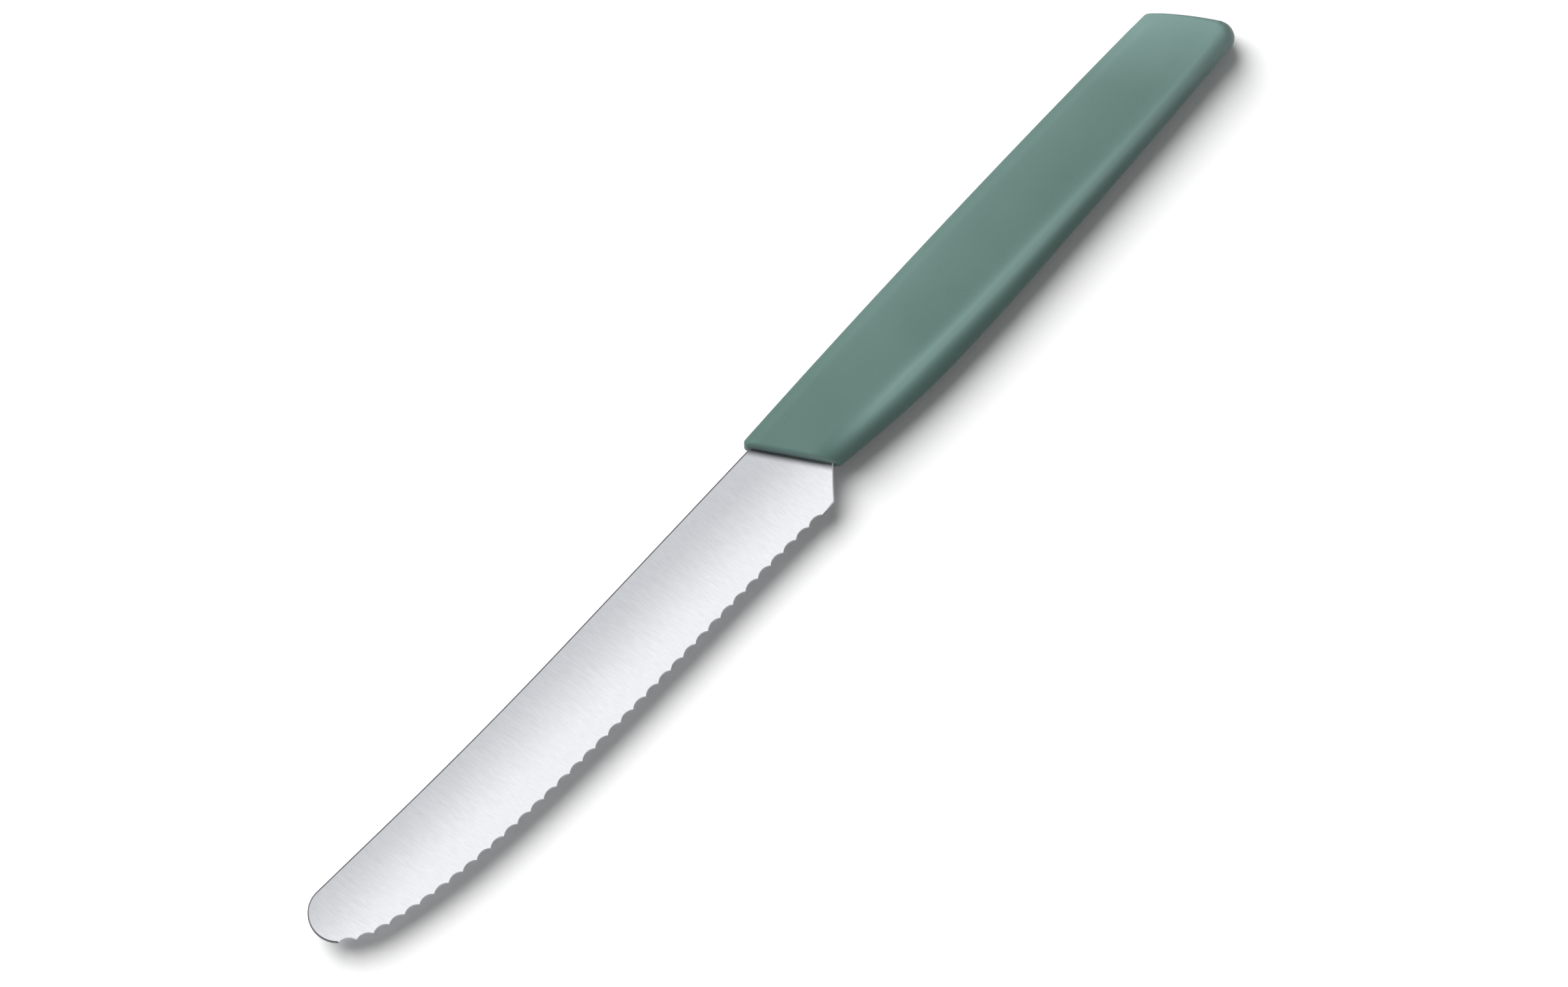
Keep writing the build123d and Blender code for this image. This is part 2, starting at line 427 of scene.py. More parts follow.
def moulded_plastic(grain, painted_sheen):
    """Matte green plastic with a fine moulded grain, and a painted highlight along its crease and its back edge.
    """
    colours = bpy.context.scene.knife_handle
    material, tree, shader = new_material("moulded_plastic", Specular_IOR_Level=0.2)
    look = placed(tree, grain, Size=0.22 * MM, Patch_Size=14 * MM)
    cloudy = mapped(tree, look["Patch"], *NOISE_RANGE, 0.0, 0.5)
    speckled = mapped(tree, look["Speckle"], *NOISE_RANGE, 0.0, 0.5)
    plain = blended(tree, math(tree, "ADD", cloudy, speckled), colours.plastic, colours.plastic_worn)
    sheen_masks = []
    # Painted highlight: the crease and back masks blend the base colour towards the lighter highlight colour
    for attribute, strength in (("crease", 1.2), ("back", 0.22)):
        mask = node(tree, "ShaderNodeAttribute", attribute_name=attribute).outputs["Fac"]
        sheen_node = node(tree, "ShaderNodeGroup", node_tree=painted_sheen)
        tree.links.new(mask, sheen_node.inputs["Mask"])
        tree.links.new(look["Patch"], sheen_node.inputs["Patch"])
        sheen_node.inputs["Strength"].default_value = strength
        sheen_masks.append(sheen_node.outputs["Wear"])
    all_sheen = math(tree, "ADD", *sheen_masks)
    tree.links.new(blended(tree, all_sheen, plain, colours.highlighted), shader.inputs["Base Color"])
    matte = mapped(tree, look["Speckle"], *NOISE_RANGE, 0.56, 0.66)
    # The crease's painted highlight also lowers the roughness there
    smoother = math(tree, "MULTIPLY_ADD", sheen_masks[0], -0.12, matte)
    tree.links.new(smoother, shader.inputs["Roughness"])
    bumped(tree, shader, look["Speckle"], 0.012 * MM)
    return material


def brushed_steel(brush):
    """The blade's faces: fine brushed lines, painted light that grows lighter towards the teeth, and a painted
    shadow beside the handle.
    """
    settings = bpy.context.scene.knife_blade
    at = places()
    material, tree, shader = new_material("brushed_steel", Metallic=1.0)
    widths = {"Line_Width": 0.11 * MM, "Line_Length": 1.6 * MM, "Streak_Width": 0.45 * MM}
    look = placed(tree, brush, Turn=-settings.brush_angle, **widths)
    own = own_place(tree)
    # Painted light: the faces' colour grows lighter from the spine towards the teeth
    dark_y, shade_width = at.spine_start.y + 2 * MM, 13 * MM
    painted_light = mapped(tree, own["Y"], dark_y, dark_y + shade_width, 0.0, 1.0, smooth=True)
    streaky = mapped(tree, look["Streaks"], *NOISE_RANGE, -0.05, 0.05)
    toned = blended(tree, math(tree, "ADD", painted_light, streaky), settings.shaded_spine_steel, settings.lit_edge_steel)
    lines = mapped(tree, look["Lines"], *LINE_RANGE, 0.94, 1.06)
    # Painted shadow: a dark band on the faces just in front of the handle's front end, where its shadow falls
    seam = at.front_corner.dot(at.front_way)
    along_x = math(tree, "MULTIPLY", own["X"], at.front_way.x)
    from_front = math(tree, "MULTIPLY_ADD", own["Y"], at.front_way.y, along_x)
    darkest_shadow, dark_from, dark_to, unshaded_from = 0.2, seam + 0.35 * MM, seam + 0.45 * MM, seam + 1.75 * MM
    near_side = mapped(tree, from_front, seam, dark_from, 1.0, darkest_shadow, smooth=True)
    far_side = mapped(tree, from_front, dark_to, unshaded_from, darkest_shadow, 1.0, smooth=True)
    painted_shadow = math(tree, "MAXIMUM", near_side, far_side)
    shaded = scaled(tree, toned, math(tree, "MULTIPLY", lines, painted_shadow))
    tree.links.new(shaded, shader.inputs["Base Color"])
    glossy = mapped(tree, look["Lines"], *LINE_RANGE, 0.12, 0.17)
    tree.links.new(glossy, shader.inputs["Roughness"])
    bumped(tree, shader, look["Lines"], 0.002 * MM)
    return material


def sheared_steel(grain):
    """The stamped rim: duller than the faces and darkened with painted shade, except at the heel, where a painted
    highlight lightens it.
    """
    settings = bpy.context.scene.knife_blade
    heel_x, gleam_width = places().spine_start.x - 2 * MM, 0.5 * MM
    material, tree, shader = new_material("sheared_steel", Metallic=1.0)
    look = placed(tree, grain, Size=0.12 * MM, Patch_Size=1.5 * MM)
    # Painted shade: the rim's dark colour, broken up in patches by the grain
    darker = [0.7 * part for part in settings.shaded_cut_steel]
    # Painted highlight: the rim is lighter from the heel backwards
    gleaming = mapped(tree, own_place(tree)["X"], heel_x, heel_x - gleam_width, 0.0, 1.0)
    rough = blended(tree, look["Patch"], darker, settings.shaded_cut_steel)
    tree.links.new(blended(tree, gleaming, rough, settings.heel_gleam_steel), shader.inputs["Base Color"])
    dull = mapped(tree, look["Speckle"], *NOISE_RANGE, 0.42, 0.58)
    tree.links.new(dull, shader.inputs["Roughness"])
    bumped(tree, shader, look["Speckle"], 0.004 * MM)
    return material


def ground_steel(brush):
    """The scallops' walls and hollows, with the grinding wheel's fine lines."""
    settings = bpy.context.scene.knife_blade
    material, tree, shader = new_material("ground_steel", Metallic=1.0)
    look = placed(tree, brush, Line_Width=0.05 * MM, Line_Length=1.2 * MM, Streak_Width=0.3 * MM)
    darker = [0.85 * part for part in settings.ground_steel]
    toned = blended(tree, look["Lines"], darker, settings.ground_steel)
    tree.links.new(toned, shader.inputs["Base Color"])
    satin = mapped(tree, look["Streaks"], *NOISE_RANGE, 0.30, 0.42)
    tree.links.new(satin, shader.inputs["Roughness"])
    bumped(tree, shader, look["Lines"], 0.002 * MM)
    return material


# Blade


def tooth_curve(at):
    """The line through the tooth tips, from the heel to the round tip."""
    blade = bpy.context.scene.knife_blade
    tip_angle = blade.tip_sweep - pi / 2
    tip_x = at.tip_x - blade.tip_radius + blade.tip_radius * cos(tip_angle)
    tip_y = at.spine_end_y + blade.tip_radius + blade.tip_radius * sin(tip_angle)
    edge_shares = (
        (-0.013, 0.998),
        (0.18, 1.032),
        (0.36, 1.087),
        (0.545, 1.117),
        (0.735, 1.080),
        (0.87, 0.945),
    )
    inset = 0.02 * MM
    points = [
        (at.spine_start.x + along * blade.blade_length, at.spine_start.y + down * blade.blade_width - inset)
        for along, down in edge_shares
    ]
    return Curve([*points, (tip_x, tip_y)], 0.0, tan(blade.tip_sweep))


def arc(centre, radius, start, end, count):
    """Points of an arc, both ends among them."""
    turns = (start + (end - start) * i / count for i in range(count + 1))
    return [Vector((centre[0] + radius * cos(a), centre[1] + radius * sin(a))) for a in turns]


def rounded_corner(before, corner, after, radius, count=6):
    """The arc that rounds a corner of an outline."""
    inward, outward = (before - corner).normalized(), (after - corner).normalized()
    half = inward.angle(outward) / 2
    reach = radius / tan(half)
    centre = corner + (inward + outward).normalized() * radius / sin(half)
    first, last = corner + inward * reach - centre, corner + outward * reach - centre
    turn = first.angle_signed(last)
    return [centre + Matrix.Rotation(-turn * i / count, 2) @ first for i in range(count + 1)]


def blade_outline(at):
    """The sheet's outline, counterclockwise from above: each point, and whether its edge is a rim."""
    blade = bpy.context.scene.knife_blade
    teeth = tooth_curve(at)

    def on_spine(x):
        return Vector((x, at.spine_start.y + at.spine_slope * (x - at.spine_start.x)))

    straight_end = on_spine(at.spine_start.x + blade.straight_spine_share * blade.blade_length)
    bend_end_x = at.spine_start.x + blade.bent_spine_share * blade.blade_length
    bend_run = bend_end_x - straight_end.x
    spine = [on_spine(at.root_x), on_spine(at.spine_start.x)]
    bend_steps = 40
    for i in range(bend_steps + 1):
        u = i / bend_steps
        drop = at.spine_slope * bend_run * (u - u * u / 2)
        spine.append(Vector((straight_end.x + bend_run * u, straight_end.y + drop)))
    level = at.spine_end_y - spine[-1].y
    spine[2:] = [p + Vector((0, level * i / bend_steps)) for i, p in enumerate(spine[2:])]
    tip_centre = (at.tip_x - blade.tip_radius, at.spine_end_y + blade.tip_radius)
    tip = arc(tip_centre, blade.tip_radius, -pi / 2, blade.tip_sweep - pi / 2, 64)

    tooth_steps = 240
    first_x, last_x = teeth.x[0], teeth.x[-1]
    edge = []
    for i in range(1, tooth_steps + 1):
        x = last_x + (first_x - last_x) * i / tooth_steps
        edge.append(Vector((x, teeth(x))))

    heel_share = 0.985
    heel = at.spine_start + Vector((-blade.heel_setback, heel_share * blade.blade_width))
    heel_way = Vector((-cos(blade.heel_angle), -sin(blade.heel_angle)))
    heel_end = heel + heel_way * blade.heel_edge_length
    hollow_side = Vector((-heel_way.y, heel_way.x))
    hollow_steps = 24
    heel_edge = []
    for i in range(1, hollow_steps + 1):
        u = i / hollow_steps
        heel_edge.append(heel.lerp(heel_end, u) + hollow_side * blade.heel_hollow * 4 * u * (1 - u))
    corner = rounded_corner(edge[-1], heel, heel_edge[4], blade.heel_corner_radius)

    tang_way = at.tang_way
    tang_side = Vector((-tang_way.y, tang_way.x))
    tang_end = at.tang_middle - tang_way * (blade.tang_length - blade.tang_width) / 2
    half = blade.tang_width / 2
    heel_edge = [p for p in heel_edge if (p - tang_end).dot(tang_side) > half]
    tang_run = tang_way * blade.tang_length

    def tang_meets(side, first, second):
        """Where one side of the tang meets a line of the sheet's outline."""
        start = tang_end + tang_side * side * half
        return Vector(intersect_line_line_2d(start, start + tang_run, first, second))

    lower = tang_meets(1, heel_edge[-1], heel_edge[-1] + heel_way * blade.heel_edge_length)
    upper = tang_meets(-1, heel_end, spine[0])
    turn = atan2(tang_way.y, tang_way.x)
    tang = arc(tang_end, half, turn + pi / 2, turn + 3 * pi / 2, 32)

    heel_edge = [p for p in heel_edge if (p - heel).length > blade.heel_corner_radius * 2]
    rows = [(p, True) for p in [*spine, *tip[1:-1]]]
    rows += [(p, False) for p in [tip[-1], *edge]]
    rows += [(p, True) for p in [*corner, *heel_edge]]
    rows += [(p, False) for p in [lower, *tang, upper]]
    return rows


def blade_blank(at, materials):
    """The sheet before its scallops: both faces taper to the teeth, and the stamped rim is rounded."""
    blade = bpy.context.scene.knife_blade
    rows = blade_outline(at)
    taper = (blade.spine_thickness - blade.edge_thickness) / 2 / blade.blade_width

    def half_thickness(y):
        return blade.spine_thickness / 2 - taper * (y - at.spine_start.y)

    points = [point for point, rim in rows]
    inwards = []
    for before, point, after in zip([points[-1], *points], points, [*points[1:], points[0]]):
        along = (point - before).normalized() + (after - point).normalized()
        inwards.append(Vector((-along.y, along.x)).normalized())

    mesh = bmesh.new()
    rings = []
    rim_steps = 4
    for side in (-1, 1):
        steps = range(rim_steps + 1) if side < 0 else range(rim_steps, -1, -1)
        for step in steps:
            turn = pi / 2 * step / rim_steps
            inset, drop = blade.rim_round * (1 - sin(turn)), blade.rim_round * (1 - cos(turn))
            ring = []
            for (point, rim), inward in zip(rows, inwards):
                spot = point + inward * inset if rim else point
                height = at.mid_height + side * (half_thickness(point.y) - drop)
                ring.append(mesh.verts.new((spot.x, spot.y, height)))
            rings.append(ring)
    mesh.faces.new(reversed(rings[0]))
    mesh.faces.new(rings[-1])
    for lower, upper in zip(rings, rings[1:]):
        for wall in band(mesh, lower, upper):
            wall.material_index = 1
    bmesh.ops.recalc_face_normals(mesh, faces=mesh.faces)
    data = bpy.data.meshes.new("blade_blank")
    mesh.to_mesh(data)
    mesh.free()
    for material in materials:
        data.materials.append(material)
    return linked("blade_blank", data)


def tooth_line(at):
    """The tooth curve as a curve object, which the scallops are spread along."""
    teeth = tooth_curve(at)
    steps = 400
    data = bpy.data.curves.new("tooth_line", "CURVE")
    data.dimensions = "3D"
    spline = data.splines.new("POLY")
    spline.points.add(steps)
    for i, point in enumerate(spline.points):
        x = teeth.x[0] + (teeth.x[-1] - teeth.x[0]) * i / steps
        point.co = (x, teeth(x), 0, 1)
    return linked("tooth_line", data)


def scallop_tree(ground):
    """Geometry nodes that grind the scallops and drill the tang: a row of tilted wheels for each face."""
    tree = bpy.data.node_groups.new("Scallop Grinder", "GeometryNodeTree")
    lengths = ("Depth", "Overlap", "Cutting Height", "Wheel Length", "Hole Radius")
    sockets = (
        ("Geometry", ("Blank",)),
        ("Object", ("Tooth Line",)),
        ("Int", ("Count", "Hole Count")),
        ("Float", (*lengths, "Front Angle", "Back Angle")),
        ("Vector", ("First Hole", "Hole Step")),
    )
    for kind, names in sockets:
        for name in names:
            tree.interface.new_socket(name, in_out="INPUT", socket_type="NodeSocket" + kind)
    tree.interface.new_socket("Blade", in_out="OUTPUT", socket_type="NodeSocketGeometry")
    start = node(tree, "NodeGroupInput").outputs

    def calc(operation, *values):
        return math(tree, operation, *values)

    def upright(height):
        return node(tree, "ShaderNodeCombineXYZ", {"Z": height}).outputs[0]

    def cylinder(facets, radius):
        sizes = {"Vertices": facets, "Radius": radius, "Depth": start["Wheel Length"]}
        return node(tree, "GeometryNodeMeshCylinder", sizes).outputs["Mesh"]

    def spread(count, place, tool, **turned):
        points = node(tree, "GeometryNodePoints", {"Count": count, "Position": place}).outputs[0]
        inputs = {"Points": points, "Instance": tool, **turned}
        return node(tree, "GeometryNodeInstanceOnPoints", inputs).outputs[0]

    line = node(tree, "GeometryNodeObjectInfo", {"Object": start["Tooth Line"]}).outputs["Geometry"]
    long = node(tree, "GeometryNodeCurveLength", {"Curve": line}).outputs["Length"]
    half_pitch = calc("DIVIDE", calc("DIVIDE", long, start["Count"]), 2.0)
    half_width = calc("ADD", half_pitch, start["Overlap"])
    index = node(tree, "GeometryNodeInputIndex").outputs["Index"]
    spot = calc("DIVIDE", calc("ADD", index, 0.5), start["Count"])
    found = {"Curves": line, "Factor": spot}
    sample = node(tree, "GeometryNodeSampleCurve", found, mode="FACTOR", use_all_curves=True).outputs
    inward = vector_math(tree, "CROSS_PRODUCT", sample["Tangent"], (0.0, 0.0, 1.0))

    wheels = node(tree, "GeometryNodeJoinGeometry")
    for side, lean, facets in ((1.0, "Front Angle", 160), (-1.0, "Back Angle", 256)):
        sine, cosine = calc("SINE", start[lean]), calc("COSINE", start[lean])
        rise = calc("MULTIPLY", start["Depth"], sine)
        squares = calc("ADD", calc("POWER", half_width, 2.0), calc("POWER", rise, 2.0))
        radius = calc("DIVIDE", squares, calc("MULTIPLY", rise, 2.0))
        back_off = calc("SUBTRACT", start["Depth"], calc("MULTIPLY", radius, sine))
        lift = calc("MULTIPLY", calc("MULTIPLY", radius, cosine), side)
        moved = vector_math(tree, "ADD", sample["Position"], scaled(tree, inward, back_off))
        height = calc("ADD", start["Cutting Height"], lift)
        place = vector_math(tree, "ADD", moved, upright(height))
        tall = upright(calc("MULTIPLY", sine, side))
        axle = vector_math(tree, "ADD", scaled(tree, inward, cosine), tall)
        turned = node(tree, "FunctionNodeAlignRotationToVector", {"Vector": axle}, axis="Z").outputs[0]
        row = spread(start["Count"], place, cylinder(facets, radius), Rotation=turned)
        tree.links.new(row, wheels.inputs[0])
    marked = node(
        tree,
        "GeometryNodeStoreNamedAttribute",
        {"Geometry": wheels.outputs[0], "Name": "ground", "Value": True},
        data_type="BOOLEAN",
        domain="INSTANCE",
    )
    hole_place = vector_math(tree, "ADD", start["First Hole"], scaled(tree, start["Hole Step"], index))
    holes = spread(start["Hole Count"], hole_place, cylinder(64, start["Hole Radius"]))
    cutters = node(tree, "GeometryNodeJoinGeometry")
    tree.links.new(marked.outputs[0], cutters.inputs[0])
    tree.links.new(holes, cutters.inputs[0])
    meshes = {"Mesh 1": start["Blank"], "Mesh 2": cutters.outputs[0]}
    ground_blade = node(tree, "GeometryNodeMeshBoolean", meshes, operation="DIFFERENCE", solver="MANIFOLD")
    real = node(tree, "GeometryNodeRealizeInstances", {"Geometry": ground_blade.outputs["Mesh"]}).outputs[0]
    is_ground = node(tree, "GeometryNodeInputNamedAttribute", {"Name": "ground"}, data_type="BOOLEAN")
    finished = node(
        tree,
        "GeometryNodeSetMaterial",
        {"Geometry": real, "Selection": is_ground.outputs["Attribute"], "Material": ground},
    )
    node(tree, "NodeGroupOutput", {"Blade": finished.outputs[0]})
    return tree


def set_inputs(modifier, **values):
    """Sets a geometry nodes modifier's inputs by their sockets' identifiers."""
    for item in modifier.node_group.interface.items_tree:
        key = item.name.replace(" ", "_")
        if item.in_out == "INPUT" and key in values:
            modifier[item.identifier] = values[key]


def plain_mesh(source, name, merge=0.0005 * MM):
    """A plain mesh object from an evaluated one, with its doubles merged. The source is removed."""
    bpy.context.view_layer.update()
    evaluated = source.evaluated_get(bpy.context.evaluated_depsgraph_get())
    data = bpy.data.meshes.new_from_object(evaluated)
    mesh = bmesh.new()
    mesh.from_mesh(data)
    bmesh.ops.remove_doubles(mesh, verts=mesh.verts, dist=merge)
    bmesh.ops.dissolve_degenerate(mesh, edges=mesh.edges, dist=merge)
    mesh.to_mesh(data)
    mesh.free()
    data.name = name
    made = linked(name, data)
    bpy.data.objects.remove(source)
    return made


def check_closed(piece):
    """Raises an error if the piece's mesh has an open edge."""
    mesh = bmesh.new()
    mesh.from_mesh(piece.data)
    open_edges = sum(1 for edge in mesh.edges if not edge.is_manifold)
    volume = mesh.calc_volume(signed=True)
    mesh.free()
    faces = len(piece.data.polygons)
    print(piece.name, "faces", faces, "open edges", open_edges, "volume mm3", volume / MM**3)
    if open_edges or volume <= 0:
        raise RuntimeError(f"{piece.name} isn't a closed solid that faces outwards")


class KNIFE_OT_blade(bpy.types.Operator):
    """Make the stamped blade, with its ground scallops and its hidden tang"""

    bl_idname = "knife.blade"
    bl_label = "Blade"

    def execute(self, context):
        blade = context.scene.knife_blade
        at = places()
        brush = bpy.data.node_groups["Brushed Lines"]
        grain = bpy.data.node_groups["Fine Grain"]
        ground = ground_steel(brush)
        blank = blade_blank(at, (brushed_steel(brush), sheared_steel(grain)))
        line = tooth_line(at)
        grinder = blank.modifiers.new("Scallops", "NODES")
        grinder.node_group = scallop_tree(ground)
        hole_step = at.tang_way * blade.tang_hole_spacing
        first_hole = at.tang_middle - hole_step * (blade.tang_hole_count - 1) / 2
        set_inputs(
            grinder,
            Tooth_Line=line,
            Count=blade.scallop_count,
            Depth=blade.scallop_depth,
            Overlap=blade.scallop_overlap,
            Front_Angle=blade.front_angle,
            Back_Angle=blade.back_angle,
            Cutting_Height=at.mid_height + blade.edge_thickness / 2 - blade.front_depth,
            Wheel_Length=6 * MM,
            Hole_Count=blade.tang_hole_count,
            Hole_Radius=blade.tang_hole_radius,
            First_Hole=(*first_hole, at.mid_height),
            Hole_Step=(*hole_step, 0.0),
        )
        piece = plain_mesh(blank, "blade_sheet")
        bpy.data.objects.remove(line)
        check_closed(piece)
        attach(piece, "root")
        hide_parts("blade")
        return {"FINISHED"}


# Handle


class HandleShape:
    """The handle's surface: sections on slanted planes, from the butt to the front."""

    belly_shares = (
        (-0.60, -0.062, 0.148),
        (-0.42, 0.042, 0.265),
        (-0.26, 0.115, 0.364),
        (-0.11, 0.169, 0.450),
        (0.05, 0.226, 0.535),
        (0.14, 0.246, 0.570),
        (0.22, 0.254, 0.587),
        (0.30, 0.257, 0.574),
        (0.40, 0.254, 0.533),
        (0.52, 0.245, 0.462),
    )
    wall_steps = 4
    round_steps = 8
    flat_steps = 14
    belly_steps = 44

    def __init__(self):
        self.sizes = bpy.context.scene.knife_handle
        self.at = places()
        long, wide = self.sizes.handle_length, self.sizes.handle_width
        self.flat = Curve([(x * long, flat * wide) for x, flat, belly in self.belly_shares])
        self.belly = Curve([(x * long, belly * wide) for x, flat, belly in self.belly_shares])
        self.half_height = (handle_high.z - handle_low.z) / 2
        self.around = self.parameters()

    def back(self, x):
        """Where the back edge is at x: a slanted line with an even bow."""
        middle = (self.at.front_corner.x + self.at.butt_corner.x) / 2
        half = (self.at.front_corner.x - self.at.butt_corner.x) / 2
        along = (x - middle) / half
        bow = self.sizes.back_bow * (1 - along**2)
        return self.sizes.back_rise / 2 * along - self.sizes.back_offset - bow

    def parameters(self):
        """The kind and place of each point round a section, from the middle of the back over the top."""
        upper = [("wall", i / self.wall_steps) for i in range(self.wall_steps)]
        upper += [("round", i / self.round_steps) for i in range(self.round_steps)]
        upper += [("flat", i / self.flat_steps) for i in range(self.flat_steps)]
        upper += [("belly", i / self.belly_steps) for i in range(self.belly_steps)]
        rows = [(kind, place, 1) for kind, place in upper]
        rows += [("belly", 1.0, 1)]
        rows += [(kind, place, -1) for kind, place in reversed(upper[1:])]
        return rows

    def corner_cut(self, back_x):
        """How far the two upright corners of the back, rounded in plan, cut into a section."""
        sizes = self.sizes
        cuts = []
        for front, radius in ((True, sizes.nose_round), (False, sizes.butt_corner_round)):
            corner, slant, side = self.end(front)
            crown, proud = self.crown(front)
            wall = Vector((side, side * sizes.back_rise / sizes.handle_length))
            opening = wall.angle(Vector((-sin(slant), cos(slant))))
            centre = radius / sin(opening)
            from_corner = side * (back_x - corner.x) + (proud - crown) / cos(slant)
            along = max(0.0, from_corner) - centre
            if along + centre < radius / tan(opening / 2):
                chord = max(0.0, radius**2 - (along * sin(opening)) ** 2)
                cuts.append(centre - along * cos(opening) - sqrt(chord))
        return max(cuts, default=0.0)

    def section(self, back_x, slant):
        """The plane of a section that starts on the back edge: its start, direction, and main lengths."""
        way = Vector((-sin(slant), cos(slant)))
        start = Vector((back_x, self.back(back_x)))
        reaches = []
        settling_steps = 12
        for curve in (self.flat, self.belly):
            t = 0.0
            for _ in range(settling_steps):
                t = (curve(start.x + way.x * t) - start.y) / way.y
            reaches.append(t)
        return start, way, reaches[0], reaches[1] - reaches[0]

    def spot(self, row, slant, flat_end, belly_reach, cut):
        """A point of a section, and its normal there: along the section, and up."""
        kind, place, side = row
        height = self.half_height
        corner = self.sizes.back_round
        corner_reach = corner / cos(slant)
        if kind == "wall":
            return cut, place * (height - corner), Vector((-1, 0))
        if kind == "round":
            turn = place * pi / 2
            t = cut + corner_reach * (1 - cos(turn))
            z = height - corner * (1 - sin(turn))
            return t, z, Vector((-cos(turn) / corner_reach, sin(turn) / corner)).normalized()
        if kind == "flat":
            flat_start = cut + corner_reach
            return flat_start + place * (flat_end - flat_start), height, Vector((0, 1))
        turn = (1 - place) * pi / 2
        normal = Vector((cos(turn) / belly_reach, sin(turn) / height)).normalized()
        return flat_end + belly_reach * cos(turn), height * sin(turn), normal

    def point(self, back_x, slant, row, inset=0.0):
        """A point of the section whose plane starts at the back edge, moved inwards by the inset."""
        start, way, flat_end, belly_reach = self.section(back_x, slant)
        t, z, normal = self.spot(row, slant, flat_end, belly_reach, self.corner_cut(back_x))
        t -= max(0.0, normal.x) * inset
        z -= normal.y * inset
        ground = start + way * t
        return Vector((ground.x, ground.y, self.at.mid_height + row[2] * z))

    def end(self, front):
        """An end's corner, slant and inward direction along X."""
        if front:
            return self.at.front_corner, self.sizes.front_slant, -1
        return self.at.butt_corner, self.sizes.butt_slant, 1

    def crown(self, front):
        """How much an end bulges, and how far its middle stands proud of the plane of its corners."""
        sizes = self.sizes
        if front:
            return sizes.front_crown, sizes.front_proud
        return sizes.butt_crown, sizes.butt_proud

    def bulge(self, front, t):
        """How far an end's face lies inside the plane through its corner, at t from the back edge."""
        crown, proud = self.crown(front)
        corner, slant, side = self.end(front)
        start, way, flat_end, belly_reach = self.section(corner.x, slant)
        return crown * (2 * t / (flat_end + belly_reach) - 1) ** 2 - proud

    def on_end(self, front, spot):
        """A spot of an end's face, moved on to the face's bulge."""
        corner, slant, side = self.end(front)
        start, way, flat_end, belly_reach = self.section(corner.x, slant)
        inwards = side * Vector((cos(slant), sin(slant)))
        offset = spot.to_2d() - start
        ground = spot.to_2d() + inwards * (self.bulge(front, offset.dot(way)) - offset.dot(inwards))
        return Vector((ground.x, ground.y, spot.z))

    def end_ring(self, front, progress):
        """A ring of an end's rounding, from where it starts, at 0, to the end face, at 1."""
        sizes = self.sizes
        face_round, belly_round = sizes.butt_round, sizes.heel_round
        if front:
            face_round, belly_round = sizes.front_round, sizes.front_belly_round
        corner, slant, side = self.end(front)
        start, way, flat_end, belly_reach = self.section(corner.x, slant)
        ring = []
        for row in self.around:
            t, z, normal = self.spot(row, slant, flat_end, belly_reach, 0.0)
            radius = face_round + (belly_round - face_round) * sqrt(max(0.0, normal.x))
            edge = self.point(corner.x, slant, row)
            step = 0.5 * MM
            lengthwise = (self.point(corner.x + side * step, slant, row) - edge) / step
            inwards = Vector((-way.x * normal.x, -way.y * normal.x, -row[2] * normal.y))
            opening = lengthwise.angle(inwards) if normal.x > 0 else pi / 2
            along, inset = self.rounding(radius, opening, progress)
            bulge = self.bulge(front, t - max(0.0, normal.x) * inset)
            back_x = corner.x + side * (bulge / cos(slant) + along / lengthwise.length)
            ring.append(self.point(back_x, slant, row, inset))
        return ring

    def rounding(self, radius, opening, progress):
        """How far an arc between two surfaces is from their edge, along the first and along the other."""
        sweep = pi - opening
        first = sin((1 - progress) * sweep) / sin(sweep)
        second = sin(progress * sweep) / sin(sweep)
        middle = radius / sin(opening) * (1 - first - second)
        reach = radius / tan(opening / 2)
        return middle + first * reach, middle + second * reach

    def painted_sheen(self, row, spot):
        """How much painted highlight a point gets: along the crease and at the butt, and at the back."""
        fade_start, fade_width, butt_width, butt_sheen = 24 * MM, 20 * MM, 13 * MM, 0.6
        off_the_face = -10 * MM
        x = spot.x
        kind, place, side = row
        sizes = self.sizes
        if kind == "belly":
            reach = self.belly(x) - self.flat(x)
            past = reach * sin(place * pi / 2)
            back_share = 0.0
        elif kind == "flat":
            past = (place - 1) * (self.flat(x) - self.back(x) - sizes.back_round)
            back_share = (1 - place) ** 1.5
        else:
            past, back_share = off_the_face, 1.0
        # Painted highlight along the crease, fading out towards the front
        crease = exp(-(((past - sizes.crease_place) / sizes.crease_width) ** 2))
        towards_front = min(1.0, max(0.0, (x - fade_start) / fade_width))
        crease *= 1 - towards_front**2
        # Painted highlight at the butt, where the face is lit brighter
        inwards = Vector((cos(sizes.butt_slant), sin(sizes.butt_slant)))
        from_butt = (spot.to_2d() - self.at.butt_corner).dot(inwards)
        crease += butt_sheen * max(0.0, 1 - from_butt / butt_width) ** 1.2
        return crease, back_share * (1 - towards_front)


